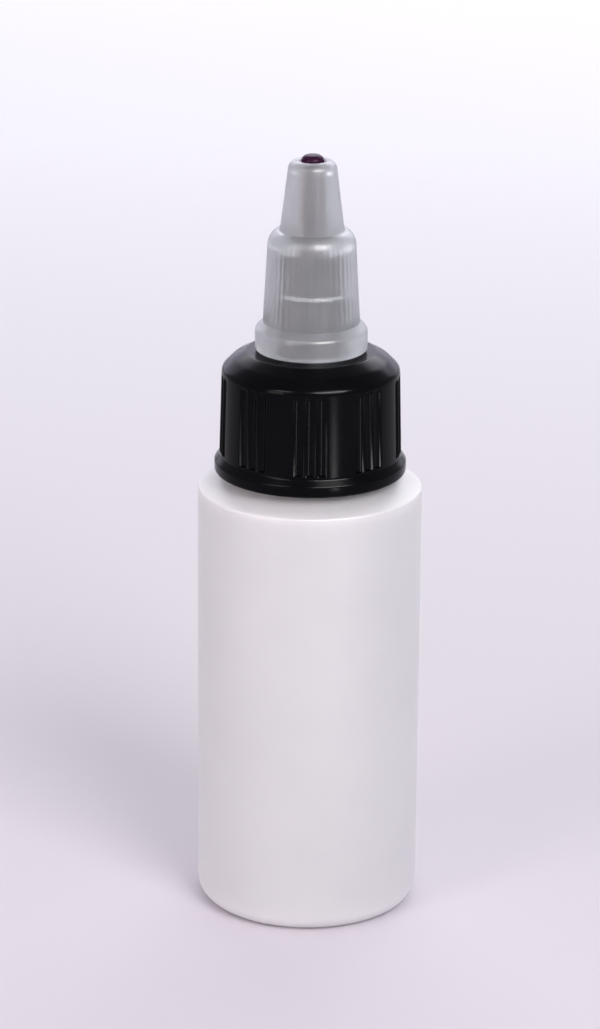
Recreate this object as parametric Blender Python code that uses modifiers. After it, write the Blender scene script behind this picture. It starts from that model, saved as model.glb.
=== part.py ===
"""Dropper bottle: a squeeze bottle with a screw cap base and a twist-open spout.

Run with: blender --background --python part.py
Units are metres, +Z is up, and the origin is at the centre of the bottle's base.
Closed position: the cap is screwed down and the spout is twisted shut.
"""

import math

import bmesh
import bpy
from mathutils import Matrix

MM = 0.001

# Bottle body
BODY_RADIUS = 15.0 * MM
BODY_HEIGHT = 59.0 * MM          # base to the outer edge of the shoulder's top
BODY_WALL = 0.9 * MM
BASE_CORNER = 2.4 * MM
STANDING_RING = 1.3 * MM         # width of the flat ring that the bottle stands on
BASE_RECESS_DEPTH = 0.7 * MM
FLOOR_THICKNESS = 1.1 * MM
SHOULDER_CORNER = 1.1 * MM
SHOULDER_RISE = 1.5 * MM         # from the shoulder's outer edge up to the neck's root

# Neck finish, nominal 20 mm with one and a half turns of thread
NECK_ROOT_RADIUS = 8.75 * MM
NECK_WALL = 1.65 * MM
NECK_HEIGHT = 14.2 * MM
NECK_BEAD_LIFT = 1.4 * MM        # from the neck's root to the bead's foot
NECK_BEAD_REACH = 0.6 * MM
NECK_BEAD_HEIGHT = 1.2 * MM
NECK_THREAD_REACH = 1.05 * MM
THREAD_BELOW_RIM = 2.6 * MM      # from the rim to the middle of the thread's upper end
THREAD_PITCH = 3.175 * MM
THREAD_TURNS = 1.5
THREAD_WIDTHS = (1.5 * MM, 0.6 * MM)     # at the ridge's root and at its crest
THREAD_BACKLASH = 0.3 * MM

# Liner
LINER_THICKNESS = 1.0 * MM
LINER_HOLE_MARGIN = 0.3 * MM     # liner's hole over the chimney's bore

# Cap base
CAP_WALL = 1.9 * MM
CAP_LIFT = 1.3 * MM              # from the neck's root to the cap's lower edge
CAP_DECK = 1.4 * MM
CAP_BEAD_REACH = 0.75 * MM
CAP_BEAD_HEIGHT = 1.7 * MM
CAP_BEAD_CORNER = 0.6 * MM
CAP_CHAMFER_WIDTH = 3.45 * MM
CAP_CHAMFER_HEIGHT = 2.7 * MM
CAP_DRAFT = 0.3 * MM             # radius lost from the bead up to the chamfer
FLUTE_GROUPS = 9
FLUTES_PER_GROUP = 3
FLUTE_PITCH_DEGREES = 7.4
FLUTE_TOOL_RADIUS = 0.8 * MM
FLUTE_TOOL_SIDES = 10
FLUTE_DEPTH = 0.34 * MM
FLUTE_END_MARGIN = 0.5 * MM      # from the chamfer and from the bead to the flutes' ends
FRONT_DEGREES = 270.0            # one group of flutes is centred on -Y

# Chimney on the cap base
CHIMNEY_RADIUS = 4.1 * MM
CHIMNEY_WALL = 1.0 * MM
CHIMNEY_HEIGHT = 13.3 * MM       # above the cap's deck
QUICK_LEAD = 16.0 / 3.0 * MM     # spout's rise in one full turn
QUICK_STARTS = 2
QUICK_REACH = 0.7 * MM
QUICK_WIDTHS = (0.95 * MM, 0.45 * MM)    # at the ridge's root and at its crest
QUICK_ABOVE_DECK = 1.7 * MM      # from the deck to the middle of the thread's lower end
QUICK_BELOW_SEAL = 0.6 * MM      # from the sealing bore to the middle of the thread's upper end
HUB_WALL = 0.75 * MM
HUB_BORE_RADIUS = 1.35 * MM
HUB_HEIGHT = 4.0 * MM
WEB_COUNT = 3
WEB_THICKNESS = 0.8 * MM

# Plug pin
PIN_TIP_RADIUS = 1.4 * MM
PIN_COLLAR_REACH = 0.6 * MM      # collar over the hub's bore
PIN_DOME_HEIGHT = 0.75 * MM

# Twist spout
SPOUT_RISE = 4.0 * MM            # how far it lifts when it is twisted open
SPOUT_FLANGE_REACH = 1.02 * MM
SPOUT_FLANGE_HEIGHT = 2.9 * MM
SPOUT_FLANGE_SLOPE = 1.0 * MM
SPOUT_SKIRT_WALL = 0.78 * MM     # at the skirt's upper end
SPOUT_SKIRT_DRAFT = 0.57 * MM    # how much wider the skirt is at its lower end
SPOUT_CROWN_HEIGHT = 2.3 * MM    # rounded shoulder between the skirt and the cone
SPOUT_CONE_FILLET = (0.15 * MM, 0.8 * MM)    # width and height of the cone's flared foot
SPOUT_CONE_LENGTH = 8.5 * MM
SPOUT_CONE_WALL = 1.15 * MM
SPOUT_FLOW_GAP = 0.92 * MM       # room round the pin's collar
SPOUT_TIP_WALL = 1.4 * MM
SPOUT_TIP_CORNER = 0.7 * MM
SPOUT_LAND_LENGTH = 1.5 * MM
SPOUT_THREAD_TURNS = 0.4
SPOUT_THREAD_LEAD_IN = 0.3       # turns from the chimney thread's start to the spout thread's
SPOUT_SEAL_MARGIN = 0.9 * MM     # sealing bore left round the chimney when the spout is open

# Clearances
GAP = 0.3 * MM                   # between neighbouring pieces, and for small chamfers
THREAD_GAP = 0.35 * MM           # between a thread's crest and the wall it faces
SINK = 0.35 * MM                 # how far a ridge is sunk into its wall

# Smoothness of round forms
BODY_STEPS = 64
SPOUT_STEPS = 48
SMALL_STEPS = 32
HUB_STEPS = 20
ARC_POINTS = 4
RIDGE_STEPS = 24                 # sections in one turn of a thread
RIDGE_TAPER = 4                  # sections over which a ridge's end grows to full height
RIDGE_TURN = math.radians(0.9)   # keeps a ridge's sections off the corners of the faceted walls

# Radii worked out from the sizes above
NECK_BORE_RADIUS = NECK_ROOT_RADIUS - NECK_WALL
NECK_CREST_RADIUS = NECK_ROOT_RADIUS + NECK_THREAD_REACH
CAP_INNER_RADIUS = NECK_CREST_RADIUS + THREAD_GAP
CAP_RADIUS = CAP_INNER_RADIUS + CAP_WALL
CAP_BEAD_RADIUS = CAP_RADIUS + CAP_BEAD_REACH
CHIMNEY_BORE_RADIUS = CHIMNEY_RADIUS - CHIMNEY_WALL
HUB_RADIUS = HUB_BORE_RADIUS + HUB_WALL
PIN_COLLAR_RADIUS = HUB_BORE_RADIUS + PIN_COLLAR_REACH
SPOUT_SEAL_RADIUS = CHIMNEY_RADIUS + GAP
SPOUT_BORE_RADIUS = CHIMNEY_RADIUS + QUICK_REACH + GAP
SPOUT_SKIRT_RADIUS = SPOUT_BORE_RADIUS + SPOUT_SKIRT_WALL
SPOUT_CONE_BORE_RADIUS = PIN_COLLAR_RADIUS + SPOUT_FLOW_GAP
SPOUT_CONE_RADIUS = SPOUT_CONE_BORE_RADIUS + SPOUT_CONE_WALL
SPOUT_LAND_RADIUS = PIN_TIP_RADIUS + GAP
SPOUT_TIP_RADIUS = SPOUT_LAND_RADIUS + SPOUT_TIP_WALL

# Heights worked out from the sizes above
NECK_ROOT_Z = BODY_HEIGHT + SHOULDER_RISE
NECK_RIM_Z = NECK_ROOT_Z + NECK_HEIGHT
NECK_BEAD_Z = NECK_ROOT_Z + NECK_BEAD_LIFT
NECK_THREAD_Z = NECK_RIM_Z - THREAD_BELOW_RIM - THREAD_PITCH * THREAD_TURNS
LINER_Z = NECK_RIM_Z + GAP
CAP_BOTTOM_Z = NECK_ROOT_Z + CAP_LIFT
CAP_UNDER_Z = LINER_Z + LINER_THICKNESS + GAP
CAP_DECK_Z = CAP_UNDER_Z + CAP_DECK
CHIMNEY_TOP_Z = CAP_DECK_Z + CHIMNEY_HEIGHT
PIN_COLLAR_Z = CHIMNEY_TOP_Z + GAP
SPOUT_Z = CAP_DECK_Z + GAP
SPOUT_SEAL_Z = CHIMNEY_TOP_Z - SPOUT_RISE - SPOUT_SEAL_MARGIN
SPOUT_CEILING_Z = CHIMNEY_TOP_Z + 2 * GAP
SPOUT_CROWN_Z = SPOUT_CEILING_Z + GAP
SPOUT_CONE_Z = SPOUT_CROWN_Z + SPOUT_CROWN_HEIGHT + SPOUT_CONE_FILLET[1]
SPOUT_TOP_Z = SPOUT_CONE_Z + SPOUT_CONE_LENGTH
QUICK_Z = CAP_DECK_Z + QUICK_ABOVE_DECK
QUICK_TURNS = (SPOUT_SEAL_Z - QUICK_BELOW_SEAL - QUICK_Z) / QUICK_LEAD


def clear_scene():
    for item in list(bpy.data.objects):
        bpy.data.objects.remove(item, do_unlink=True)


def new_collection(name):
    collection = bpy.data.collections.new(name)
    bpy.context.scene.collection.children.link(collection)
    return collection


def new_material(name, colour, roughness, alpha=1.0):
    material = bpy.data.materials.new(name)
    material.use_nodes = True
    shader = material.node_tree.nodes["Principled BSDF"]
    shader.inputs["Base Color"].default_value = (*colour, 1.0)
    shader.inputs["Roughness"].default_value = roughness
    shader.inputs["Metallic"].default_value = 0.0
    shader.inputs["Alpha"].default_value = alpha
    return material


def new_object(name, mesh, collection, material=None):
    item = bpy.data.objects.new(name, mesh)
    collection.objects.link(item)
    if material:
        mesh.materials.append(material)
    return item


def arc(centre_r, centre_z, radius, start_degrees, end_degrees, points=ARC_POINTS):
    """Points along an arc in the (radius, height) plane, both ends included."""
    turn = end_degrees - start_degrees
    angles = [math.radians(start_degrees + turn * i / points) for i in range(points + 1)]
    return [(centre_r + radius * math.cos(a), centre_z + radius * math.sin(a)) for a in angles]


def turned(name, profile, closed, steps, collection, material):
    """A turned piece: the (radius, height) profile swept about +Z by a Screw modifier."""
    mesh = bpy.data.meshes.new(name)
    count = len(profile)
    edges = [(i, i + 1) for i in range(count - 1)]
    if closed:
        edges.append((count - 1, 0))
    mesh.from_pydata([(r, 0.0, z) for r, z in profile], edges, [])
    item = new_object(name, mesh, collection, material)
    screw = item.modifiers.new("Turn", "SCREW")
    screw.axis = "Z"
    screw.angle = math.tau
    screw.steps = steps
    screw.render_steps = steps
    screw.use_merge_vertices = True
    screw.merge_threshold = 0.00001
    screw.use_smooth_shade = True
    return item


def as_tool(item):
    """Marks an object as a modelling tool that isn't part of the bottle."""
    item.hide_render = True
    item.display_type = "WIRE"


def combine(item, tool, operation):
    step = item.modifiers.new(tool.name, "BOOLEAN")
    step.operation = operation
    step.solver = "EXACT"
    step.object = tool


def add_ridge(form, root, crest, widths, lead, turns, start_z, start_angle):
    """Adds one helical ridge, right-handed about +Z, whose crest sinks towards both ends."""
    sections = max(2 * RIDGE_TAPER, round(RIDGE_STEPS * turns))
    rings = []
    for i in range(sections + 1):
        angle = start_angle + RIDGE_TURN + math.tau * turns * i / sections
        middle = start_z + lead * turns * i / sections
        taper = min(RIDGE_TAPER, 1 + min(i, sections - i)) / RIDGE_TAPER
        reach = root + (crest - root) * taper
        corners = [(root, -widths[0] / 2), (reach, -widths[1] / 2),
                   (reach, widths[1] / 2), (root, widths[0] / 2)]
        rings.append([form.verts.new((r * math.cos(angle), r * math.sin(angle), middle + rise))
                      for r, rise in corners])
    for low, high in zip(rings, rings[1:]):
        for i in range(4):
            j = (i + 1) % 4
            form.faces.new((low[i], low[j], high[j], high[i]))
    form.faces.new(rings[0])
    form.faces.new(reversed(rings[-1]))


def finish_tool(form, name, collection):
    """Turns a bmesh into a tool object."""
    mesh = bpy.data.meshes.new(name)
    form.to_mesh(mesh)
    form.free()
    item = new_object(name, mesh, collection)
    as_tool(item)
    return item


def thread(name, root, crest, widths, lead, turns, start_z, starts, start_angle, collection):
    """A tool with one ridge for each start of a thread."""
    form = bmesh.new()
    for start in range(starts):
        add_ridge(form, root, crest, widths, lead, turns, start_z,
                  start_angle + math.tau * start / starts)
    bmesh.ops.recalc_face_normals(form, faces=form.faces)
    return finish_tool(form, name, collection)


def bottle_profile():
    """From the inside floor's centre, up the inside, over the rim and down the outside."""
    inner_radius = BODY_RADIUS - BODY_WALL
    inner_corner = max(BASE_CORNER - BODY_WALL, GAP)
    floor_z = BASE_RECESS_DEPTH + FLOOR_THICKNESS
    inner_top = BODY_HEIGHT - BODY_WALL
    bead_top = NECK_BEAD_Z + NECK_BEAD_HEIGHT
    bead_radius = NECK_ROOT_RADIUS + NECK_BEAD_REACH
    ring_inner = BODY_RADIUS - BASE_CORNER - STANDING_RING
    points = [(0.0, floor_z)]
    points += arc(inner_radius - inner_corner, floor_z + inner_corner, inner_corner, -90, 0)
    points += arc(inner_radius - SHOULDER_CORNER, inner_top - SHOULDER_CORNER, SHOULDER_CORNER, 0, 70)
    points += [(NECK_BORE_RADIUS, NECK_ROOT_Z - BODY_WALL / 2)]
    points += [(NECK_BORE_RADIUS, NECK_RIM_Z), (NECK_ROOT_RADIUS - GAP, NECK_RIM_Z)]
    points += [(NECK_ROOT_RADIUS, NECK_RIM_Z - GAP), (NECK_ROOT_RADIUS, bead_top)]
    points += [(bead_radius, bead_top - GAP), (bead_radius, NECK_BEAD_Z + GAP)]
    points += [(NECK_ROOT_RADIUS, NECK_BEAD_Z), (NECK_ROOT_RADIUS, NECK_ROOT_Z)]
    points += arc(BODY_RADIUS - SHOULDER_CORNER, BODY_HEIGHT - SHOULDER_CORNER, SHOULDER_CORNER, 80, 0)
    points += arc(BODY_RADIUS - BASE_CORNER, BASE_CORNER, BASE_CORNER, 0, -90)
    points += [(ring_inner, 0.0), (ring_inner - BASE_RECESS_DEPTH, BASE_RECESS_DEPTH)]
    points += [(0.0, BASE_RECESS_DEPTH)]
    return points


def make_bottle(parts, tools):
    plastic = new_material("natural_bottle_plastic", (0.80, 0.79, 0.81), 0.38, 0.85)
    item = turned("squeeze_bottle", bottle_profile(), False, BODY_STEPS, parts, plastic)
    ridge = thread("neck_thread", NECK_ROOT_RADIUS - SINK, NECK_CREST_RADIUS, THREAD_WIDTHS,
                   THREAD_PITCH, THREAD_TURNS, NECK_THREAD_Z, 1, 0.0, tools)
    combine(item, ridge, "UNION")


def make_liner(parts):
    foam = new_material("liner_foam", (0.86, 0.86, 0.84), 0.7)
    inner = CHIMNEY_BORE_RADIUS + LINER_HOLE_MARGIN
    low = LINER_Z
    high = LINER_Z + LINER_THICKNESS
    profile = [(inner, low), (inner, high), (NECK_ROOT_RADIUS, high), (NECK_ROOT_RADIUS, low)]
    turned("neck_liner", profile, True, SMALL_STEPS, parts, foam)


def cap_profile():
    """A closed outline: up the chimney's bore, down the outside and back up the inside."""
    low = CAP_BOTTOM_Z
    bead_top = low + CAP_BEAD_HEIGHT
    chamfer_z = CAP_DECK_Z - CAP_CHAMFER_HEIGHT
    points = [(CHIMNEY_BORE_RADIUS, CAP_UNDER_Z), (CHIMNEY_BORE_RADIUS, CHIMNEY_TOP_Z)]
    points += [(CHIMNEY_RADIUS - GAP, CHIMNEY_TOP_Z), (CHIMNEY_RADIUS, CHIMNEY_TOP_Z - GAP)]
    points += [(CHIMNEY_RADIUS, CAP_DECK_Z), (CAP_RADIUS - CAP_CHAMFER_WIDTH, CAP_DECK_Z)]
    points += [(CAP_RADIUS - CAP_CHAMFER_WIDTH * 0.4, CAP_DECK_Z - CAP_CHAMFER_HEIGHT * 0.5)]
    points += [(CAP_RADIUS - CAP_DRAFT, chamfer_z), (CAP_RADIUS, bead_top + GAP)]
    points += [(CAP_BEAD_RADIUS - GAP, bead_top), (CAP_BEAD_RADIUS, bead_top - GAP)]
    points += [(CAP_BEAD_RADIUS, low + CAP_BEAD_CORNER), (CAP_BEAD_RADIUS - CAP_BEAD_CORNER, low)]
    points += [(CAP_INNER_RADIUS + GAP, low), (CAP_INNER_RADIUS, low + GAP)]
    points += [(CAP_INNER_RADIUS, CAP_UNDER_Z)]
    return points


def flute_tool(tools):
    """All the round-bottomed grip flutes as one cutter."""
    form = bmesh.new()
    bead_top = CAP_BOTTOM_Z + CAP_BEAD_HEIGHT + GAP
    chamfer_z = CAP_DECK_Z - CAP_CHAMFER_HEIGHT
    low = bead_top + FLUTE_END_MARGIN
    high = chamfer_z - FLUTE_END_MARGIN
    lean = math.atan2(CAP_DRAFT, chamfer_z - bead_top)
    centre = CAP_RADIUS - CAP_DRAFT / 2 + FLUTE_TOOL_RADIUS - FLUTE_DEPTH
    middle = (FLUTES_PER_GROUP - 1) / 2
    for group in range(FLUTE_GROUPS):
        for flute in range(FLUTES_PER_GROUP):
            in_group = (flute - middle) * FLUTE_PITCH_DEGREES
            angle = math.radians(FRONT_DEGREES + 360.0 * group / FLUTE_GROUPS + in_group)
            made = bmesh.ops.create_cone(form, cap_ends=True, segments=FLUTE_TOOL_SIDES,
                                         radius1=FLUTE_TOOL_RADIUS, radius2=FLUTE_TOOL_RADIUS,
                                         depth=high - low)
            bmesh.ops.rotate(form, verts=made["verts"], cent=(0, 0, 0),
                             matrix=Matrix.Rotation(-lean, 3, "Y"))
            bmesh.ops.translate(form, verts=made["verts"], vec=(centre, 0.0, (low + high) / 2))
            bmesh.ops.rotate(form, verts=made["verts"], cent=(0, 0, 0),
                             matrix=Matrix.Rotation(angle, 3, "Z"))
    return finish_tool(form, "grip_flutes", tools)


def hub_tool(tools):
    """The hub that holds the plug pin in the chimney's mouth."""
    low = CHIMNEY_TOP_Z - HUB_HEIGHT
    profile = [(HUB_BORE_RADIUS, low), (HUB_BORE_RADIUS, CHIMNEY_TOP_Z),
               (HUB_RADIUS, CHIMNEY_TOP_Z), (HUB_RADIUS, low)]
    item = turned("pin_hub", profile, True, HUB_STEPS, tools, None)
    as_tool(item)
    return item


def web_tool(index, tools):
    """One web from the middle of the hub's wall to the middle of the chimney's wall."""
    inner = HUB_RADIUS - HUB_WALL / 2
    outer = CHIMNEY_RADIUS - CHIMNEY_WALL / 2
    height = HUB_HEIGHT - 2 * GAP
    form = bmesh.new()
    bmesh.ops.create_cube(form, size=1.0)
    bmesh.ops.scale(form, verts=form.verts, vec=(outer - inner, WEB_THICKNESS, height))
    bmesh.ops.translate(form, verts=form.verts,
                        vec=((outer + inner) / 2, 0.0, CHIMNEY_TOP_Z - HUB_HEIGHT / 2))
    bmesh.ops.rotate(form, verts=form.verts, cent=(0, 0, 0),
                     matrix=Matrix.Rotation(math.tau * index / WEB_COUNT, 3, "Z"))
    return finish_tool(form, "hub_web_" + str(index + 1), tools)


def make_cap_base(parts, tools):
    plastic = new_material("black_cap_plastic", (0.012, 0.012, 0.015), 0.3)
    item = turned("cap_base", cap_profile(), True, BODY_STEPS, parts, plastic)
    combine(item, flute_tool(tools), "DIFFERENCE")
    offset = sum(THREAD_WIDTHS) / 2 + THREAD_BACKLASH
    screw_ridge = thread("cap_thread", CAP_INNER_RADIUS + SINK, NECK_ROOT_RADIUS + THREAD_GAP,
                         THREAD_WIDTHS, THREAD_PITCH, THREAD_TURNS, NECK_THREAD_Z - offset,
                         1, 0.0, tools)
    combine(item, screw_ridge, "UNION")
    quick_ridge = thread("chimney_thread", CHIMNEY_RADIUS - SINK, CHIMNEY_RADIUS + QUICK_REACH,
                         QUICK_WIDTHS, QUICK_LEAD, QUICK_TURNS, QUICK_Z, QUICK_STARTS, 0.0, tools)
    combine(item, quick_ridge, "UNION")
    combine(item, hub_tool(tools), "UNION")
    for index in range(WEB_COUNT):
        combine(item, web_tool(index, tools), "UNION")


def pin_profile():
    """From the dome's apex down the outside to the foot's centre."""
    dome_radius = (PIN_TIP_RADIUS ** 2 + PIN_DOME_HEIGHT ** 2) / (2 * PIN_DOME_HEIGHT)
    spread = math.degrees(math.asin(PIN_TIP_RADIUS / dome_radius))
    foot_radius = HUB_BORE_RADIUS - GAP
    foot_z = CHIMNEY_TOP_Z - HUB_HEIGHT - GAP
    apex_z = SPOUT_TOP_Z + PIN_DOME_HEIGHT
    points = [(0.0, apex_z)]
    points += arc(0.0, apex_z - dome_radius, dome_radius, 90, 90 - spread)[1:]
    points += [(PIN_TIP_RADIUS, SPOUT_TOP_Z - SPOUT_LAND_LENGTH)]
    points += [(PIN_COLLAR_RADIUS, PIN_COLLAR_Z + GAP), (PIN_COLLAR_RADIUS, PIN_COLLAR_Z)]
    points += [(foot_radius, PIN_COLLAR_Z), (foot_radius, foot_z), (0.0, foot_z)]
    return points


def make_pin(parts):
    plastic = new_material("plum_pin_plastic", (0.05, 0.018, 0.055), 0.25)
    turned("plug_pin", pin_profile(), False, SMALL_STEPS, parts, plastic)


def spout_profile():
    """A closed outline: up the bore, out through the orifice and down the outside."""
    low = SPOUT_Z
    flange_z = low + SPOUT_FLANGE_HEIGHT
    skirt_foot_radius = SPOUT_SKIRT_RADIUS + SPOUT_SKIRT_DRAFT
    flange_radius = skirt_foot_radius + SPOUT_FLANGE_REACH
    land_z = SPOUT_TOP_Z - SPOUT_LAND_LENGTH
    crown_foot = SPOUT_CONE_RADIUS + SPOUT_CONE_FILLET[0]
    points = [(SPOUT_BORE_RADIUS, low), (SPOUT_BORE_RADIUS, SPOUT_SEAL_Z - GAP)]
    points += [(SPOUT_SEAL_RADIUS, SPOUT_SEAL_Z), (SPOUT_SEAL_RADIUS, SPOUT_CEILING_Z)]
    points += [(SPOUT_CONE_BORE_RADIUS, SPOUT_CONE_Z - SPOUT_CONE_WALL)]
    points += [(SPOUT_LAND_RADIUS + GAP, land_z - GAP), (SPOUT_LAND_RADIUS, land_z)]
    points += [(SPOUT_LAND_RADIUS, SPOUT_TOP_Z)]
    points += arc(SPOUT_TIP_RADIUS - SPOUT_TIP_CORNER, SPOUT_TOP_Z - SPOUT_TIP_CORNER,
                  SPOUT_TIP_CORNER, 90, 0)
    points += [(SPOUT_CONE_RADIUS, SPOUT_CONE_Z)]
    for i in range(ARC_POINTS + 1):
        angle = math.pi / 2 * (1 - i / ARC_POINTS)
        points.append((crown_foot + (SPOUT_SKIRT_RADIUS - crown_foot) * math.cos(angle),
                       SPOUT_CROWN_Z + SPOUT_CROWN_HEIGHT * math.sin(angle)))
    points += [(skirt_foot_radius, flange_z + SPOUT_FLANGE_SLOPE)]
    points += [(flange_radius - GAP, flange_z + GAP), (flange_radius, flange_z)]
    points += [(flange_radius, low + GAP), (flange_radius - GAP, low)]
    return points


def make_spout(parts, tools):
    plastic = new_material("natural_spout_plastic", (0.62, 0.63, 0.64), 0.32, 0.85)
    item = turned("twist_spout", spout_profile(), True, SPOUT_STEPS, parts, plastic)
    half_way_down = QUICK_LEAD / QUICK_STARTS / 2
    start_z = QUICK_Z - half_way_down + QUICK_LEAD * SPOUT_THREAD_LEAD_IN
    ridge = thread("spout_thread", SPOUT_BORE_RADIUS + SINK, CHIMNEY_RADIUS + GAP, QUICK_WIDTHS,
                   QUICK_LEAD, SPOUT_THREAD_TURNS, start_z, QUICK_STARTS,
                   math.tau * SPOUT_THREAD_LEAD_IN, tools)
    combine(item, ridge, "UNION")


def main():
    clear_scene()
    parts = new_collection("dropper_bottle")
    tools = new_collection("modelling_tools")
    make_bottle(parts, tools)
    make_liner(parts)
    make_cap_base(parts, tools)
    make_pin(parts)
    make_spout(parts, tools)


main()
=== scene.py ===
import math

import bmesh
import bpy
from mathutils import Matrix, Vector


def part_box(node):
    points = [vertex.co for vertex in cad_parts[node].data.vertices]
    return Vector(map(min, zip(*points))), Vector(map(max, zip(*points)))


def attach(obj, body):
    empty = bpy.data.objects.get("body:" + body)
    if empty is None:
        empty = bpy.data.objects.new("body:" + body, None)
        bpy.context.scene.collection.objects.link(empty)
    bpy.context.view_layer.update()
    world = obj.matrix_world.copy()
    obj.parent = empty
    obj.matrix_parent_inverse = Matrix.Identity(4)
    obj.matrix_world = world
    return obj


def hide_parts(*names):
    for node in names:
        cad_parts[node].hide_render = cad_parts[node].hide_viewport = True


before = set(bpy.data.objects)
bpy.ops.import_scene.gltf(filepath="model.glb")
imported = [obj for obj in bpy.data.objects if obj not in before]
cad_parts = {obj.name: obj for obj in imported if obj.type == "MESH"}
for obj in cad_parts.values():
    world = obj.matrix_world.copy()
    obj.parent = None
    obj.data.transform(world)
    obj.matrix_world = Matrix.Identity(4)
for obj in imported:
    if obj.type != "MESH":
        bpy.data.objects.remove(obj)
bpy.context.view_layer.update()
millimetre = 0.001
fullTurn = 2 * math.pi
near = 0.02                                # millimetres or degrees within which a vertex is at a place
weldGap = 0.002                            # millimetres within which vertices are merged

# Where the CAD pieces start and end, so that every outline below hangs on the frame
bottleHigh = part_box("squeeze_bottle")[1]
linerLow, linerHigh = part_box("neck_liner")
capLow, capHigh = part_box("cap_base")
pinLow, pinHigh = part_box("plug_pin")
spoutLow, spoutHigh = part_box("twist_spout")
rimHeight = bottleHigh.z / millimetre
capFoot = capLow.z / millimetre
capRadius = capHigh.x / millimetre
chimneyTop = capHigh.z / millimetre
spoutFoot = spoutLow.z / millimetre
spoutTop = spoutHigh.z / millimetre
spoutRadius = spoutHigh.x / millimetre


# Helpers

def toLinear(channel):
    # the sRGB curve, undone
    if channel <= 0.04045:
        return channel / 12.92
    return ((channel + 0.055) / 1.055) ** 2.4


def hexColour(text):
    values = [int(text[i:i + 2], 16) / 255 for i in (1, 3, 5)]
    return (*[toLinear(value) for value in values], 1.0)


def perFeature(size):
    # texture scale that makes one feature that many millimetres wide
    return 1 / (size * millimetre)


def addNode(tree, kind, settings=None, inputs=None):
    # inputs holds plain values, or (node, output name) pairs for links
    node = tree.nodes.new(kind)
    for name, value in (settings or {}).items():
        setattr(node, name, value)
    for name, value in (inputs or {}).items():
        if isinstance(value, tuple) and isinstance(value[0], bpy.types.Node):
            tree.links.new(value[0].outputs[value[1]], node.inputs[name])
        else:
            node.inputs[name].default_value = value
    return node


def setRamp(node, stops):
    ramp = node.color_ramp
    while len(ramp.elements) < len(stops):
        ramp.elements.new(0.5)
    for element, (place, colour) in zip(ramp.elements, stops):
        element.position = place
        element.color = colour


def startMaterial(name, shaderValues):
    material = bpy.data.materials.new(name)
    material.use_nodes = True
    tree = material.node_tree
    tree.nodes.clear()
    output = addNode(tree, "ShaderNodeOutputMaterial")
    shader = addNode(tree, "ShaderNodeBsdfPrincipled", inputs=shaderValues)
    tree.links.new(shader.outputs["BSDF"], output.inputs["Surface"])
    coordinates = addNode(tree, "ShaderNodeTexCoord")
    return material, tree, shader, coordinates


def activate(piece):
    bpy.ops.object.select_all(action="DESELECT")
    piece.select_set(True)
    bpy.context.view_layer.objects.active = piece


def selectWhere(piece, test):
    # selects the vertices whose place, in millimetres, passes the test
    bpy.ops.mesh.select_mode(type="VERT")
    bpy.ops.mesh.select_all(action="DESELECT")
    mesh = bmesh.from_edit_mesh(piece.data)
    for vertex in mesh.verts:
        vertex.select = test(vertex.co / millimetre)
    mesh.select_flush_mode()
    bmesh.update_edit_mesh(piece.data)


def filletPoints(before, corner, after, rounding, count):
    # the arc that rounds one corner of an outline
    toBefore = (Vector(before) - Vector(corner)).normalized()
    toAfter = (Vector(after) - Vector(corner)).normalized()
    halfAngle = toBefore.angle(toAfter) / 2
    reach = rounding / math.tan(halfAngle)
    centre = Vector(corner) + (toBefore + toAfter).normalized() * rounding / math.sin(halfAngle)
    first = Vector(corner) + toBefore * reach - centre
    last = Vector(corner) + toAfter * reach - centre
    start = math.atan2(first.y, first.x)
    sweep = (math.atan2(last.y, last.x) - start + math.pi) % fullTurn - math.pi
    angles = [start + sweep * i / count for i in range(count + 1)]
    return [(centre.x + rounding * math.cos(angle), centre.y + rounding * math.sin(angle))
            for angle in angles]


def roundedOutline(corners, closed, count):
    # corners are (radius, height, rounding) in millimetres, and count is the steps in a rounding
    points = []
    for i, (radius, height, rounding) in enumerate(corners):
        isEnd = not closed and i in (0, len(corners) - 1)
        if rounding == 0 or isEnd:
            points.append((radius, height))
            continue
        before = corners[i - 1][:2]
        after = corners[(i + 1) % len(corners)][:2]
        points += filletPoints(before, (radius, height), after, rounding, count)
    return points


def drawOutline(name, outline, closed):
    # one vertex is drawn out along the outline, and edit mode stays on
    bpy.ops.object.select_all(action="DESELECT")
    bpy.ops.mesh.primitive_plane_add(size=millimetre, location=(0, 0, 0))
    piece = bpy.context.object
    piece.name = name
    bpy.ops.object.mode_set(mode="EDIT")
    bpy.ops.mesh.select_all(action="SELECT")
    bpy.ops.mesh.merge(type="CENTER")
    place = Vector((0, 0))
    for i, point in enumerate(outline):
        move = (Vector(point) - place) * millimetre
        step = (move.x, 0, move.y)
        if i == 0:
            bpy.ops.transform.translate(value=step)
        else:
            bpy.ops.mesh.extrude_region_move(TRANSFORM_OT_translate={"value": step})
        place = Vector(point)
    if closed:
        first, last = (Vector((end[0], 0, end[1])) for end in (outline[0], outline[-1]))
        selectWhere(piece, lambda p: min((p - first).length, (p - last).length) < near)
        bpy.ops.mesh.edge_face_add()
    return piece


def spinRound(steps, degrees=360, copies=False):
    bpy.ops.mesh.select_all(action="SELECT")
    bpy.ops.mesh.spin(steps=steps, angle=math.radians(degrees), dupli=copies,
                      center=(0, 0, 0), axis=(0, 0, 1))


def closeSeams():
    bpy.ops.mesh.select_all(action="SELECT")
    bpy.ops.mesh.remove_doubles(threshold=weldGap * millimetre)
    bpy.ops.mesh.normals_make_consistent(inside=False)
    bpy.ops.object.mode_set(mode="OBJECT")


def turnPiece(name, outline, closed, steps):
    piece = drawOutline(name, outline, closed)
    spinRound(steps)
    closeSeams()
    return piece


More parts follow.
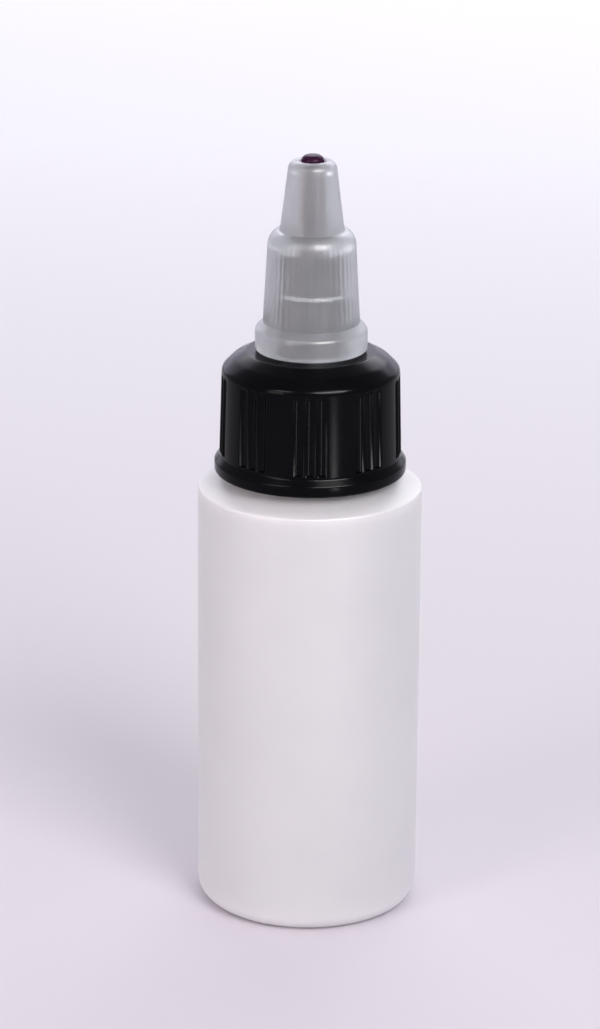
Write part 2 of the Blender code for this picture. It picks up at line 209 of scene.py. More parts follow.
def pressColumns(piece, height, angles, cut, least):
    # moves those columns (degrees) of a fresh sector inwards at one height, outside the least radius
    def isInColumn(p):
        if abs(p.z - height) > near or p.xy.length < least:
            return False
        turn = math.degrees(math.atan2(p.y, p.x))
        return min(abs(turn - angle) for angle in angles) < near

    selectWhere(piece, isInColumn)
    mesh = bmesh.from_edit_mesh(piece.data)
    radius = max(vertex.co.xy.length / millimetre for vertex in mesh.verts if vertex.select)
    size = 1 - cut / radius
    bpy.ops.transform.resize(value=(size, size, 1), center_override=(0, 0, 0))


def addBlock(size, place, turn, bevel):
    # a bevelled block, all in millimetres but its turn in radians
    bpy.ops.mesh.primitive_cube_add(size=millimetre, location=Vector(place) * millimetre,
                                    rotation=(0, 0, turn))
    block = bpy.context.object
    block.scale = size
    bpy.ops.object.transform_apply(location=True, rotation=True, scale=True)
    bpy.ops.object.mode_set(mode="EDIT")
    bpy.ops.mesh.select_all(action="SELECT")
    bpy.ops.mesh.bevel(offset=bevel * millimetre, segments=2)
    bpy.ops.object.mode_set(mode="OBJECT")
    return block


def smoothShade(piece, degrees):
    activate(piece)
    bpy.ops.object.shade_smooth_by_angle(angle=math.radians(degrees))


def joinInto(piece, extras):
    activate(piece)
    for extra in extras:
        extra.select_set(True)
    bpy.ops.object.join()


def dress(piece, material, body, node):
    piece.data.materials.clear()
    piece.data.materials.append(material)
    piece.data.name = piece.name
    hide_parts(node)
    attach(piece, body)


def addThread(name, thread, turnDegrees=0):
    # a ridge section is drawn at the start, run up the screw, closed at its ends and sunk there
    rooted = 0.3                           # millimetres of the ridge inside the wall it stands on
    skin = 0.05                            # millimetres from the sunk ends to the ridge's foot
    reach = 1 if thread["crest"] > thread["root"] else -1
    inner = thread["root"] - rooted * reach
    halfRoot, halfCrest = (width / 2 for width in thread["widths"])
    start = thread["start"]
    section = [(inner, start - halfRoot), (inner, start + halfRoot),
               (thread["crest"], start + halfCrest), (thread["crest"], start - halfCrest)]
    ridge = drawOutline(name, section, closed=True)
    bpy.ops.object.mode_set(mode="OBJECT")
    screw = ridge.modifiers.new("Screw", "SCREW")
    screw.axis = "Z"
    screw.angle = fullTurn * thread["turns"]
    screw.screw_offset = thread["lead"] * thread["turns"] * millimetre
    screw.steps = screw.render_steps = thread["steps"]
    screw.use_merge_vertices = False
    bpy.ops.object.modifier_apply(modifier=screw.name)
    bpy.ops.object.mode_set(mode="EDIT")
    bpy.ops.mesh.select_all(action="SELECT")
    bpy.ops.mesh.fill_holes(sides=4)
    bpy.ops.mesh.normals_make_consistent(inside=False)
    top = start + thread["lead"] * thread["turns"]
    for end, turn in ((start, 0), (top, thread["turns"])):
        angle = fullTurn * turn
        edge = Vector((math.cos(angle), math.sin(angle), 0)) * thread["crest"] + Vector((0, 0, end))
        selectWhere(ridge, lambda p: (p - edge).length < halfRoot + skin)
        sink = (inner + skin * reach) / thread["crest"]
        bpy.ops.transform.resize(value=(sink, sink, 1), center_override=(0, 0, 0))
    bpy.ops.object.mode_set(mode="OBJECT")
    ridge.rotation_euler.z = math.radians(turnDegrees)
    bpy.ops.object.transform_apply(location=False, rotation=True, scale=False)
    return ridge


# Bottle

bottle = {
    "radius": bottleHigh.x / millimetre,   # over the parting line
    "partingLine": 0.06,                   # height of the line where the mould halves meet
    "shoulderHeight": 59.0,
    "shoulderRise": 2.4,
    "shoulderBend": (12.9, 59.7),          # where the shoulder grows steeper: radius and height
    "standingRing": 1.3,                   # width of the flat ring that the bottle stands on
    "recess": 0.7,                         # depth of the hollow in the base
    "wall": 0.9,
    "floor": 1.1,
    "neckRadius": 8.75,
    "neckWall": 1.65,
    "neckBead": (1.0, 1.2, 0.6),           # lift from the neck's root, height and reach
    "rounding": {"recess": 0.5, "ring": 0.4, "base": 2.4, "shoulder": 0.25, "bend": 0.8,
                 "neckRoot": 0.5, "beadFoot": 0.2, "beadEdge": 0.35, "rim": 0.4,
                 "throat": 0.9, "inside": 1.0},
    "pinchOff": (15.0, 0.5, 0.3),          # length, width and depth of the bar left by the mould
    "pinchOffSunk": 0.2,                   # how far the bar runs up into the base
    "pinchOffBevel": 0.12,
    "thread": {"root": 8.75, "crest": 9.8, "start": rimHeight - 7.36, "turns": 1.5, "lead": 3.175,
               "widths": (1.5, 0.6), "steps": 72},  # widths at the ridge's root and crest
    "steps": 256,
    "colour": "#E0DEE0",
    "cloudColour": "#DBD9DC",
    "roughness": (0.40, 0.52),             # least and most
    "cloud": 14.0,                         # mm across the slow patches of colour
    "sheen": 5.0,                          # mm across the patches of gloss
    "peel": 0.7,                           # mm, drawn coarser than the real 0.2 mm so that it shows
    "ripple": 11.0,                        # mm between the slow waves of a blown wall
}


def blownPolyethylene():
    # low-density polyethylene, blow moulded: waxy white that light sinks into, softly uneven sheen
    material, tree, shader, coordinates = startMaterial("blownPolyethylene", {
        "IOR": 1.51,
        "Subsurface Weight": 1.0,
        "Subsurface Radius": (1.0, 0.95, 0.9),
        "Subsurface Scale": 3.0 * millimetre,
    })
    cloud = addNode(tree, "ShaderNodeTexNoise", inputs={
        "Vector": (coordinates, "Object"), "Scale": perFeature(bottle["cloud"]),
        "Detail": 2.0, "Roughness": 0.5})
    tint = addNode(tree, "ShaderNodeValToRGB", inputs={"Fac": (cloud, "Fac")})
    setRamp(tint, [(0.3, hexColour(bottle["colour"])), (0.7, hexColour(bottle["cloudColour"]))])
    tree.links.new(tint.outputs["Color"], shader.inputs["Base Color"])
    sheen = addNode(tree, "ShaderNodeTexNoise", inputs={
        "Vector": (coordinates, "Object"), "Scale": perFeature(bottle["sheen"]), "Detail": 3.0})
    least, most = bottle["roughness"]
    gloss = addNode(tree, "ShaderNodeMapRange", inputs={
        "Value": (sheen, "Fac"), "To Min": least, "To Max": most})
    tree.links.new(gloss.outputs["Result"], shader.inputs["Roughness"])
    peel = addNode(tree, "ShaderNodeTexNoise", inputs={
        "Vector": (coordinates, "Object"), "Scale": perFeature(bottle["peel"]), "Detail": 2.0})
    ripple = addNode(tree, "ShaderNodeTexNoise", inputs={
        "Vector": (coordinates, "Object"), "Scale": perFeature(bottle["ripple"]), "Detail": 1.0})
    wave = addNode(tree, "ShaderNodeBump", inputs={
        "Height": (ripple, "Fac"), "Strength": 0.5, "Distance": 0.25 * millimetre})
    bump = addNode(tree, "ShaderNodeBump", inputs={
        "Height": (peel, "Fac"), "Strength": 0.25, "Distance": 0.02 * millimetre,
        "Normal": (wave, "Normal")})
    tree.links.new(bump.outputs["Normal"], shader.inputs["Normal"])
    return material


def bottleOutline():
    b = bottle
    rounding = b["rounding"]
    body = b["radius"] - b["partingLine"]
    inside = body - b["wall"]
    neckRoot = b["shoulderHeight"] + b["shoulderRise"]
    beadLift, beadHeight, beadReach = b["neckBead"]
    beadFoot = neckRoot + beadLift
    bead = b["neckRadius"] + beadReach
    bore = b["neckRadius"] - b["neckWall"]
    ring = body - rounding["base"] - b["standingRing"]
    insideFloor = b["recess"] + b["floor"]
    corners = [
        (0, b["recess"], 0),
        (ring - b["recess"], b["recess"], rounding["recess"]),
        (ring, 0, rounding["ring"]),
        (body, 0, rounding["base"]),
        (body, b["shoulderHeight"], rounding["shoulder"]),
        (*b["shoulderBend"], rounding["bend"]),
        (b["neckRadius"], neckRoot, rounding["neckRoot"]),
        (b["neckRadius"], beadFoot, rounding["beadFoot"]),
        (bead, beadFoot, rounding["beadEdge"]),
        (bead, beadFoot + beadHeight, rounding["beadEdge"]),
        (b["neckRadius"], beadFoot + beadHeight, rounding["beadFoot"]),
        (b["neckRadius"], rimHeight, rounding["rim"]),
        (bore, rimHeight, rounding["rim"]),
        (bore, neckRoot - b["wall"] / 2, rounding["throat"]),
        (inside, b["shoulderHeight"] - b["wall"], rounding["inside"]),
        (inside, insideFloor, rounding["base"] - b["wall"]),
        (0, insideFloor, 0),
    ]
    return roundedOutline(corners, closed=False, count=6)


def makeBottle():
    b = bottle
    piece = turnPiece("bottleBody", bottleOutline(), closed=False, steps=b["steps"])
    activate(piece)
    bpy.ops.object.mode_set(mode="EDIT")
    # the parting line runs up both sides and fades out at the roundings
    body = b["radius"] - b["partingLine"]
    selectWhere(piece, lambda p: abs(p.y) < near and abs(abs(p.x) - body) < near)
    lift = b["radius"] / body
    bpy.ops.transform.resize(value=(lift, 1, 1), center_override=(0, 0, 0))
    bpy.ops.object.mode_set(mode="OBJECT")
    length, width, depth = b["pinchOff"]
    sunk = b["pinchOffSunk"]
    bar = addBlock((length, width, depth + sunk), (0, 0, b["recess"] + (sunk - depth) / 2), 0,
                   b["pinchOffBevel"])
    joinInto(piece, [bar, addThread("neckThread", b["thread"])])
    smoothShade(piece, 40)
    dress(piece, blownPolyethylene(), "bottle", "squeeze_bottle")
    print("bottle done", len(piece.data.polygons), "faces")


# Liner

liner = {
    "radius": linerHigh.x / millimetre,
    "hole": 3.4,
    "corner": 0.18,
    "steps": 96,
    "colour": "#E4E3E0",
    "poreColour": "#CFCDC8",
    "roughness": 0.78,
    "pore": 0.35,                          # mm across one cell of the foam
}


def polyethyleneFoam():
    # expanded polyethylene sheet, die cut: matt, with fine closed cells
    material, tree, shader, coordinates = startMaterial("polyethyleneFoam", {
        "Roughness": liner["roughness"], "IOR": 1.5})
    cells = addNode(tree, "ShaderNodeTexVoronoi", inputs={
        "Vector": (coordinates, "Object"), "Scale": perFeature(liner["pore"])})
    ramp = addNode(tree, "ShaderNodeValToRGB", inputs={"Fac": (cells, "Distance")})
    setRamp(ramp, [(0.1, hexColour(liner["colour"])), (0.75, hexColour(liner["poreColour"]))])
    tree.links.new(ramp.outputs["Color"], shader.inputs["Base Color"])
    bump = addNode(tree, "ShaderNodeBump", {"invert": True}, {
        "Height": (cells, "Distance"), "Strength": 0.5, "Distance": 0.06 * millimetre})
    tree.links.new(bump.outputs["Normal"], shader.inputs["Normal"])
    return material


def makeLiner():
    low, high = linerLow.z / millimetre, linerHigh.z / millimetre
    corner = liner["corner"]
    corners = [(liner["hole"], low, corner), (liner["radius"], low, corner),
               (liner["radius"], high, corner), (liner["hole"], high, corner)]
    outline = roundedOutline(corners, closed=True, count=3)
    piece = turnPiece("linerDisc", outline, closed=True, steps=liner["steps"])
    smoothShade(piece, 35)
    dress(piece, polyethyleneFoam(), "liner", "neck_liner")
    print("liner done")


# Cap

cap = {
    "foot": capFoot - 0.6,                 # nearer the shoulder than the solid one
    "bead": (capRadius, 1.5),              # radius and height of the upright part
    "beadSlope": 0.85,                     # height over which the bead runs in to the skirt
    "skirtRadius": 12.15,
    "skirtTop": 75.35,
    "draft": 0.3,                          # how much narrower the skirt is at its top
    "deckRadius": 8.6,
    "deckHeight": 77.7,
    "slopeBelly": 0.3,                     # how far the slope from skirt to deck bulges
    "deck": 1.4,                           # thickness
    "innerRadius": 10.15,
    "chimney": (4.1, 1.0),                 # radius and wall
    "rounding": {"mouth": 0.3, "bead": 0.4, "beadTop": 0.35, "skirtFoot": 0.5, "skirtTop": 1.2,
                 "belly": 2.0, "deck": 0.5, "chimneyFoot": 0.35, "chimneyTop": 0.3,
                 "bore": 0.25, "ceiling": 0.4},
    "hub": (1.35, 2.1, 4.0),               # bore, radius and height of the ring that holds the pin
    "hubRounding": 0.12,
    "webs": 3,
    "webThickness": 0.8,
    "webOverlap": 0.2,                     # how far a web runs into the hub and into the chimney
    "webInset": 0.05,                      # how far a web stays inside the hub's two ends
    "webBevel": 0.1,
    "groups": 9,                           # flutes stand in groups of three
    "flutePitch": 7.5,
    "fluteColumn": 0.625,                  # degrees between two columns of the mesh
    "cutterRadius": 0.85,
    "fluteDepth": 0.36,
    "fluteLow": 64.05,                     # the flutes end square here and round at the top
    "fluteHigh": 74.1,
    "fluteStep": 0.08,                     # height over which the square end reaches its depth
    "fluteEndRows": 5,                     # rows of the mesh in the round end
    "innerThread": {"root": 10.15, "crest": 9.1, "start": 66.2, "turns": 1.5, "lead": 3.175,
                    "widths": (1.5, 0.6), "steps": 72},
    "quickThread": {"root": 4.1, "crest": 4.8, "start": 79.4, "turns": 1.14, "lead": 16 / 3,
                    "widths": (0.95, 0.45), "steps": 56},
    "quickStarts": (90, 270),              # degrees at which the two ridges start
    "colour": "#040407",
    "sheenColour": "#07070B",
    "roughness": (0.13, 0.25),             # least and most
    "cloud": 6.0,                          # mm across the patches of colour and gloss
    "grain": 0.5,                          # mm, coarser than the real 0.1 mm spark finish so that it shows
}


def mouldedPolypropylene():
    # black polypropylene, injection moulded in a polished tool: deep black, smooth soft-edged gloss
    material, tree, shader, coordinates = startMaterial("mouldedPolypropylene", {
        "IOR": 1.49, "Specular IOR Level": 0.06})
    cloud = addNode(tree, "ShaderNodeTexNoise", inputs={
        "Vector": (coordinates, "Object"), "Scale": perFeature(cap["cloud"]), "Detail": 3.0})
    ramp = addNode(tree, "ShaderNodeValToRGB", inputs={"Fac": (cloud, "Fac")})
    setRamp(ramp, [(0.35, hexColour(cap["colour"])), (0.7, hexColour(cap["sheenColour"]))])
    tree.links.new(ramp.outputs["Color"], shader.inputs["Base Color"])
    least, most = cap["roughness"]
    gloss = addNode(tree, "ShaderNodeMapRange", inputs={
        "Value": (cloud, "Fac"), "To Min": least, "To Max": most})
    tree.links.new(gloss.outputs["Result"], shader.inputs["Roughness"])
    grain = addNode(tree, "ShaderNodeTexNoise", inputs={
        "Vector": (coordinates, "Object"), "Scale": perFeature(cap["grain"]), "Detail": 2.0})
    bump = addNode(tree, "ShaderNodeBump", inputs={
        "Height": (grain, "Fac"), "Strength": 0.2, "Distance": 0.015 * millimetre})
    tree.links.new(bump.outputs["Normal"], shader.inputs["Normal"])
    return material


def capOutline():
    c = cap
    rounding = c["rounding"]
    beadRadius, beadHeight = c["bead"]
    beadTop = c["foot"] + beadHeight
    skirtFoot = beadTop + c["beadSlope"]
    topRadius = c["skirtRadius"] - c["draft"]
    chimney, wall = c["chimney"]
    under = c["deckHeight"] - c["deck"]
    skirtEnd = Vector((topRadius, c["skirtTop"]))
    slope = Vector((c["deckRadius"], c["deckHeight"])) - skirtEnd
    belly = skirtEnd + slope / 2 + Vector((slope.y, -slope.x)).normalized() * c["slopeBelly"]
    # rows that the flutes' square lower ends and round upper ends are pressed into
    end = math.sqrt(c["cutterRadius"] ** 2 - (c["cutterRadius"] - c["fluteDepth"]) ** 2)
    low, high, count = c["fluteLow"], c["fluteHigh"], c["fluteEndRows"]
    rows = [low - c["fluteStep"], low] + [high + end * k / count for k in range(count + 1)]

    def skirtAt(height):
        return c["skirtRadius"] - c["draft"] * (height - skirtFoot) / (c["skirtTop"] - skirtFoot)

    corners = [
        (c["innerRadius"], c["foot"], rounding["mouth"]),
        (beadRadius, c["foot"], rounding["bead"]),
        (beadRadius, beadTop, rounding["beadTop"]),
        (c["skirtRadius"], skirtFoot, rounding["skirtFoot"]),
        *[(skirtAt(height), height, 0) for height in rows],
        (topRadius, c["skirtTop"], rounding["skirtTop"]),
        (belly.x, belly.y, rounding["belly"]),
        (c["deckRadius"], c["deckHeight"], rounding["deck"]),
        (chimney, c["deckHeight"], rounding["chimneyFoot"]),
        (chimney, chimneyTop, rounding["chimneyTop"]),
        (chimney - wall, chimneyTop, rounding["bore"]),
        (chimney - wall, under, rounding["bore"]),
        (c["innerRadius"], under, rounding["ceiling"]),
    ]
    return roundedOutline(corners, closed=True, count=4), rows


def fluteCut(across, beyond):
    # how deep a ball-nosed cutter goes, across the flute and past the end of its straight stretch
    room = cap["cutterRadius"] ** 2 - across ** 2 - beyond ** 2
    if room <= 0:
        return 0
    return max(0, math.sqrt(room) - cap["cutterRadius"] + cap["fluteDepth"])


def makePinHub():
    # the ring that holds the pin, and the webs that hold the ring in the chimney
    c = cap
    chimney, wall = c["chimney"]
    bore, hubRadius, hubHeight = c["hub"]
    hubFoot = chimneyTop - hubHeight
    places = [(bore, hubFoot), (hubRadius, hubFoot), (hubRadius, chimneyTop), (bore, chimneyTop)]
    outline = roundedOutline([(*place, c["hubRounding"]) for place in places], closed=True, count=3)
    pieces = [turnPiece("pinHub", outline, closed=True, steps=48)]
    middle = (hubRadius + chimney - wall) / 2
    size = (chimney - wall - hubRadius + 2 * c["webOverlap"], c["webThickness"],
            hubHeight - 2 * c["webInset"])
    for k in range(c["webs"]):
        angle = fullTurn * (0.25 + k / c["webs"])
        place = (middle * math.cos(angle), middle * math.sin(angle), chimneyTop - hubHeight / 2)
        pieces.append(addBlock(size, place, angle, c["webBevel"]))
    return pieces


def makeCap():
    c = cap
    outline, rows = capOutline()
    period = 360 / c["groups"]
    piece = drawOutline("capShell", outline, closed=True)
    spinRound(round(period / c["fluteColumn"]), period)
    # a spin turns clockwise, so the sector runs from minus one period up to nought
    middles = [c["flutePitch"] * k - period / 2 for k in (-1, 0, 1)]
    betweenWalls = (c["innerRadius"] + c["skirtRadius"]) / 2
    for height in rows[1:]:
        beyond = max(height - c["fluteHigh"], 0)
        for column in range(round(c["flutePitch"] / 2 / c["fluteColumn"])):
            angle = column * c["fluteColumn"]
            cut = fluteCut(c["skirtRadius"] * math.radians(angle), beyond)
            if cut > 0:
                angles = [middle + side * angle for middle in middles for side in (-1, 1)]
                pressColumns(piece, height, angles, cut, betweenWalls)
    spinRound(c["groups"] - 1, 360 - period, copies=True)
    closeSeams()
    # one group of flutes faces the front
    piece.rotation_euler.z = math.radians((270 + period / 2) % period)
    activate(piece)
    bpy.ops.object.transform_apply(location=False, rotation=True, scale=False)
    extras = [addThread("capThread", c["innerThread"])]
    extras += [addThread("quickThread", c["quickThread"], turnDegrees=turn) for turn in c["quickStarts"]]
    joinInto(piece, extras + makePinHub())
    smoothShade(piece, 60)
    dress(piece, mouldedPolypropylene(), "cap", "cap_base")
    print("cap done", len(piece.data.polygons), "faces")


# Pin

pin = {
    "footRadius": 1.05,
    "collar": (1.95, 0.3),                 # radius and height of the stop above the hub
    "collarGap": 0.3,                      # between the hub and the stop
    "tipRadius": 1.52,
    "tipLength": 1.5,
    "headRise": 0.7,                       # height of the head's rim over the spout's tip
    "rounding": {"foot": 0.2, "collar": 0.1, "tip": 0.3, "head": 0.85},
    "steps": 96,
    "colour": "#2C1028",
    "cloudColour": "#381733",
    "roughness": 0.3,
    "cloud": 1.5,                          # mm across the patches of colour
}


def plumPolypropylene():
    # plum polypropylene, injection moulded: dark, a little warm, satin gloss
    material, tree, shader, coordinates = startMaterial("plumPolypropylene", {
        "Roughness": pin["roughness"], "IOR": 1.49, "Specular IOR Level": 0.05})
    cloud = addNode(tree, "ShaderNodeTexNoise", inputs={
        "Vector": (coordinates, "Object"), "Scale": perFeature(pin["cloud"]), "Detail": 3.0})
    ramp = addNode(tree, "ShaderNodeValToRGB", inputs={"Fac": (cloud, "Fac")})
    setRamp(ramp, [(0.3, hexColour(pin["colour"])), (0.7, hexColour(pin["cloudColour"]))])
    tree.links.new(ramp.outputs["Color"], shader.inputs["Base Color"])
    bump = addNode(tree, "ShaderNodeBump", inputs={
        "Height": (cloud, "Fac"), "Strength": 0.2, "Distance": 0.01 * millimetre})
    tree.links.new(bump.outputs["Normal"], shader.inputs["Normal"])
    return material


def makePin():
    p = pin
    rounding = p["rounding"]
    foot, tip = p["footRadius"], p["tipRadius"]
    collarRadius, collarHeight = p["collar"]
    low, high = pinLow.z / millimetre, pinHigh.z / millimetre
    collarFoot = chimneyTop + p["collarGap"]
    corners = [
        (0, low, 0),
        (foot, low, rounding["foot"]),
        (foot, collarFoot, rounding["collar"]),
        (collarRadius, collarFoot, rounding["collar"]),
        (collarRadius, collarFoot + collarHeight, rounding["collar"]),
        (tip, spoutTop - p["tipLength"], rounding["tip"]),
        (tip, spoutTop + p["headRise"], rounding["head"]),
        (0, high, 0),
    ]
    outline = roundedOutline(corners, closed=False, count=8)
    piece = turnPiece("stopPin", outline, closed=False, steps=p["steps"])
    smoothShade(piece, 50)
    dress(piece, plumPolypropylene(), "pin", "plug_pin")
    print("pin done")


# Spout

spout = {
    "boreRadius": 5.1,
    "seal": (4.4, 86.1, 0.3),              # radius, height where it starts and step below it
    "ceiling": 91.6,                       # where the bore starts to narrow to the cone's
    "flange": (spoutRadius, 2.8, 1.0),     # radius, height and height of the slope above it
    "skirt": (6.45, 5.88, 91.9),           # radius at the foot and at the top, and the top's height
    "crown": (4.3, 2.3),                   # radius at its top, and height
    "crownRows": 8,
    "coneFoot": (4.15, 95.0),              # radius and height
    "tipRadius": 3.1,
    "orifice": (1.7, 1.5, 0.3),            # radius, depth and slope below it
    "coneBore": (2.87, 93.85),             # radius and height at its foot
    "rounding": {"mouth": 0.25, "flangeFoot": 0.3, "flangeTop": 1.0, "coneFoot": 0.6, "tip": 1.15,
                 "orifice": 0.25, "land": 0.1, "bore": 0.3},
    "ribs": 48,
    "ribDepth": 0.04,
    "ribFoot": 82.35,
    "ribRise": ((0, 0), (0.25, 0.6), (0.5, 1)),  # height over the foot and share of the depth there
    "ribFade": (1, 0.9, 0.6, 0.25),        # share of the depth left, row by row up the crown
    "ribColumns": 10,                      # columns of the mesh in one rib
    "quickThread": {"root": 5.1, "crest": 4.4, "start": 80.2, "turns": 0.4, "lead": 16 / 3,
                    "widths": (0.95, 0.45), "steps": 24},
    "quickStarts": (54, 234),              # a tenth of a turn before the cap's, to run between them
    "colour": "#E3E5E8",
    "cloudColour": "#DADDE1",
    "roughness": (0.31, 0.41),             # least and most
    "throughLight": 0.87,
    "cloud": 3.0,                          # mm across the patches of colour and gloss
    "peel": 0.5,                           # mm, drawn coarser than the real 0.15 mm so that it shows
}


def naturalPolyethylene():
    # unpigmented polyethylene, injection moulded: milky, what stands close behind it shows through
    material, tree, shader, coordinates = startMaterial("naturalPolyethylene", {
        "IOR": 1.5,
        "Specular IOR Level": 0.3,
        "Transmission Weight": spout["throughLight"],
    })
    cloud = addNode(tree, "ShaderNodeTexNoise", inputs={
        "Vector": (coordinates, "Object"), "Scale": perFeature(spout["cloud"]), "Detail": 3.0})
    ramp = addNode(tree, "ShaderNodeValToRGB", inputs={"Fac": (cloud, "Fac")})
    setRamp(ramp, [(0.3, hexColour(spout["colour"])), (0.7, hexColour(spout["cloudColour"]))])
    tree.links.new(ramp.outputs["Color"], shader.inputs["Base Color"])
    least, most = spout["roughness"]
    gloss = addNode(tree, "ShaderNodeMapRange", inputs={
        "Value": (cloud, "Fac"), "To Min": least, "To Max": most})
    tree.links.new(gloss.outputs["Result"], shader.inputs["Roughness"])
    peel = addNode(tree, "ShaderNodeTexNoise", inputs={
        "Vector": (coordinates, "Object"), "Scale": perFeature(spout["peel"]), "Detail": 2.0})
    bump = addNode(tree, "ShaderNodeBump", inputs={
        "Height": (peel, "Fac"), "Strength": 0.2, "Distance": 0.015 * millimetre})
    tree.links.new(bump.outputs["Normal"], shader.inputs["Normal"])
    return material


def spoutOutline():
    s = spout
    rounding = s["rounding"]
    flangeRadius, flangeHeight, flangeSlope = s["flange"]
    footRadius, topRadius, skirtTop = s["skirt"]
    crownRadius, crownHeight = s["crown"]
    sealRadius, sealFoot, sealStep = s["seal"]
    orifice, land, landSlope = s["orifice"]
    flangeTop = spoutFoot + flangeHeight
    skirtFoot = flangeTop + flangeSlope
    ribRows = [(s["ribFoot"] + rise, share) for rise, share in s["ribRise"]]
    skirtRows = []
    for height, share in ribRows:
        along = (height - skirtFoot) / (skirtTop - skirtFoot)
        skirtRows.append((footRadius + (topRadius - footRadius) * along, height, 0))
    # a quarter of an ellipse rounds the skirt over to the cone's foot
    crownRows = []
    for k in range(s["crownRows"] + 1):
        angle = math.pi / 2 * k / s["crownRows"]
        crownRows.append((crownRadius + (topRadius - crownRadius) * math.cos(angle),
                          skirtTop + crownHeight * math.sin(angle), 0))
    ribRows += [(row[1], share) for row, share in zip(crownRows, s["ribFade"])]
    corners = [
        (s["boreRadius"], spoutFoot, rounding["mouth"]),
        (flangeRadius, spoutFoot, rounding["flangeFoot"]),
        (flangeRadius, flangeTop, rounding["flangeTop"]),
        (footRadius, skirtFoot, 0),
        *skirtRows,
        *crownRows,
        (*s["coneFoot"], rounding["coneFoot"]),
        (s["tipRadius"], spoutTop, rounding["tip"]),
        (orifice, spoutTop, rounding["orifice"]),
        (orifice, spoutTop - land, rounding["land"]),
        (orifice + landSlope, spoutTop - land - landSlope, rounding["land"]),
        (*s["coneBore"], rounding["bore"]),
        (sealRadius, s["ceiling"], rounding["bore"]),
        (sealRadius, sealFoot, 0),
        (s["boreRadius"], sealFoot - sealStep, 0),
    ]
    return roundedOutline(corners, closed=True, count=5), ribRows


def makeSpout():
    s = spout
    outline, ribRows = spoutOutline()
    period = 360 / s["ribs"]
    columns = s["ribColumns"]
    piece = drawOutline("spoutShell", outline, closed=True)
    spinRound(columns, period)
    betweenWalls = (s["boreRadius"] + s["skirt"][1]) / 2
    for height, share in ribRows:
        for column in range(1, columns // 2 + 1):
            angle = period * column / columns
            cut = s["ribDepth"] * share * (1 - math.cos(fullTurn * column / columns)) / 2
            if cut > 0:
                pressColumns(piece, height, [-period / 2 - angle, -period / 2 + angle], cut, betweenWalls)
    spinRound(s["ribs"] - 1, 360 - period, copies=True)
    closeSeams()
    threads = [addThread("spoutThread", s["quickThread"], turnDegrees=turn) for turn in s["quickStarts"]]
    joinInto(piece, threads)
    smoothShade(piece, 35)
    dress(piece, naturalPolyethylene(), "spout", "twist_spout")
    print("spout done", len(piece.data.polygons), "faces")


# Studio

studio = {
    "floorSize": 4.0,                      # metres
    "fade": (0.05, 0.45),                  # metres behind the bottle where the painted light falloff on the paper starts and ends
    # the paper's own pale lavender grey, made darker in front and lighter behind: painted light falloff
    "frontShadedColour": "#DDD8E0",
    "backLitColour": "#F5F4FA",
    "skyColour": "#F1F0F8",
    "skyStrength": 0.6,
    "mottle": (90.0, 0.05),                # mm across the paper's slow unevenness, and its strength
    # name, place, aim, width, height (all in metres), watts, colour, only seen in gloss
    "lamps": [
        ("keyWindow", (0.32, -0.56, 0.53), (0, 0, 0.06), 0.34, 0.50, 3.3, "#FFFBFA", False),
        ("rearPanel", (0.0, 1.1, 0.70), (0, 0.55, 0), 1.0, 0.4, 3.6, "#FFFDF8", False),
        ("rearRightPanel", (0.45, 0.8, 0.60), (0.1, 0.35, 0), 0.5, 0.4, 1.3, "#F6F8FF", False),
        ("leftPanel", (-0.60, -0.60, 0.25), (0, 0, 0.06), 0.3, 0.4, 2.2, "#FFF0EA", False),
        ("windowGlint", (0.30, -0.58, 0.53), (0, 0, 0.07), 0.55, 0.18, 11.0, "#FFFFFF", True),
        ("sideGlint", (-0.41, -0.50, 0.53), (0, 0, 0.07), 0.26, 0.18, 1.8, "#FFFFFF", True),
        ("lowGlint", (0.063, -0.115, 0.030), (0, 0, 0.07), 0.012, 0.016, 0.012, "#FFFFFF", True),
        ("backGlint", (0.0, 1.4, 0.66), (0, 0, 0.07), 2.8, 1.2, 16.0, "#E9E4FF", True),
    ],
}

view = {
    # lengths in millimetres
    "distance": 540,                       # from the camera to the point looked at
    "pitchDegrees": 18.8,
    "rollDegrees": 0.45,
    "lookHeight": 54.7,
    "sideStep": -1.3,                      # the camera stands this far to the left of the bottle's axis
    "lens": 140.75,
    "sensor": 36,                          # length along the picture's longer side
    "clipStart": 10,
}


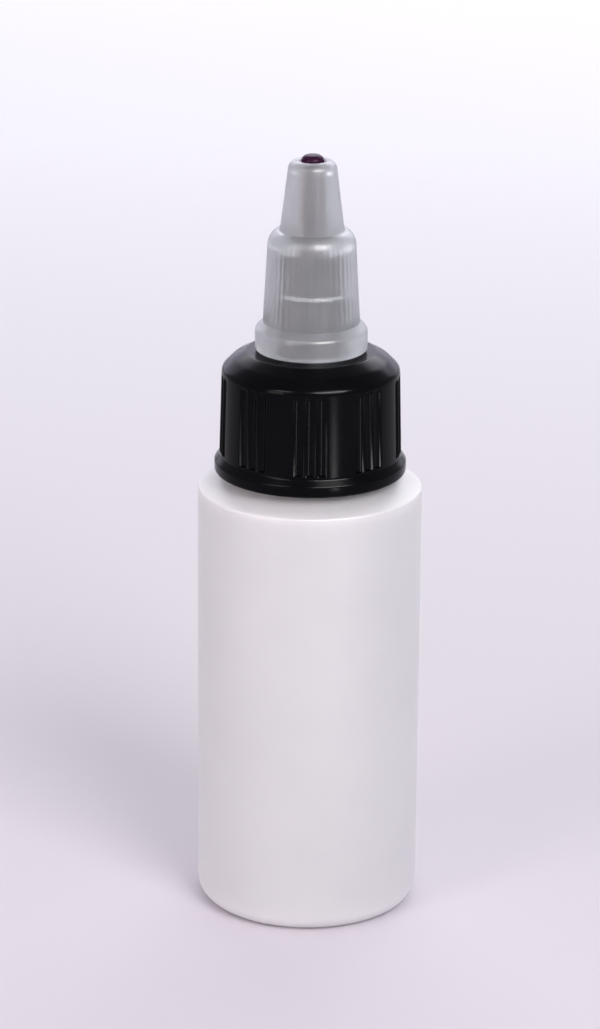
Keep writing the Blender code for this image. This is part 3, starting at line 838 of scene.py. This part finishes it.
def matteFloor():
    # matt background paper, pale lavender grey, with painted light falloff: darker in front, near white
    # behind
    material, tree, shader, coordinates = startMaterial("paperPaintedFalloff", {
        "Roughness": 0.75, "Specular IOR Level": 0.05})
    patch, strength = studio["mottle"]
    mottle = addNode(tree, "ShaderNodeTexNoise", inputs={
        "Vector": (coordinates, "Object"), "Scale": perFeature(patch), "Detail": 2.0})
    place = addNode(tree, "ShaderNodeSeparateXYZ", inputs={"Vector": (coordinates, "Object")})
    start, end = studio["fade"]
    # colour follows the distance behind the bottle: painted light falloff, darker in front and lighter
    # behind, with the paper's mottle added
    along = addNode(tree, "ShaderNodeMapRange", inputs={
        "Value": (place, "Y"), "From Min": start, "From Max": end})
    mottledPaintedFalloff = addNode(tree, "ShaderNodeMath", {"operation": "MULTIPLY_ADD"}, {
        0: (mottle, "Fac"), 1: strength, 2: (along, "Result")})
    ramp = addNode(tree, "ShaderNodeValToRGB", inputs={"Fac": (mottledPaintedFalloff, "Value")})
    setRamp(ramp, [(0.0, hexColour(studio["frontShadedColour"])), (1.0, hexColour(studio["backLitColour"]))])
    tree.links.new(ramp.outputs["Color"], shader.inputs["Base Color"])
    return material


def makeStudio():
    bpy.ops.object.select_all(action="DESELECT")
    bpy.ops.mesh.primitive_plane_add(size=studio["floorSize"], location=(0, 0, 0))
    ground = bpy.context.object
    ground.name = "studioFloor"
    ground.data.materials.append(matteFloor())
    world = bpy.data.worlds.new("softRoom")
    world.use_nodes = True
    sky = world.node_tree.nodes["Background"]
    sky.inputs["Color"].default_value = hexColour(studio["skyColour"])
    sky.inputs["Strength"].default_value = studio["skyStrength"]
    bpy.context.scene.world = world
    for name, place, aim, width, height, watts, colour, glossOnly in studio["lamps"]:
        turn = (Vector(place) - Vector(aim)).to_track_quat("Z", "Y")
        bpy.ops.object.light_add(type="AREA", location=place, rotation=turn.to_euler())
        lamp = bpy.context.object
        lamp.name = name
        lamp.data.shape = "RECTANGLE"
        lamp.data.size, lamp.data.size_y = width, height
        lamp.data.energy = watts
        lamp.data.color = hexColour(colour)[:3]
        lamp.visible_camera = False
        if glossOnly:
            lamp.visible_diffuse = False
            lamp.visible_transmission = False
            lamp.visible_volume_scatter = False
    print("studio done")


def placeCamera():
    pitch = math.radians(view["pitchDegrees"])
    distance = view["distance"] * millimetre
    place = Vector((view["sideStep"] * millimetre, -distance * math.cos(pitch),
                    view["lookHeight"] * millimetre + distance * math.sin(pitch)))
    roll = math.radians(view["rollDegrees"])
    turn = Matrix.Rotation(math.pi / 2 - pitch, 3, "X") @ Matrix.Rotation(roll, 3, "Z")
    bpy.ops.object.camera_add(location=place, rotation=turn.to_euler())
    camera = bpy.context.object
    camera.name = "frontCamera"
    camera.data.lens = view["lens"]
    camera.data.sensor_width = view["sensor"]
    camera.data.clip_start = view["clipStart"] * millimetre
    bpy.context.scene.camera = camera
    bpy.context.scene.view_settings.view_transform = "Standard"


makeBottle()
makeLiner()
makeCap()
makePin()
makeSpout()
makeStudio()
placeCamera()
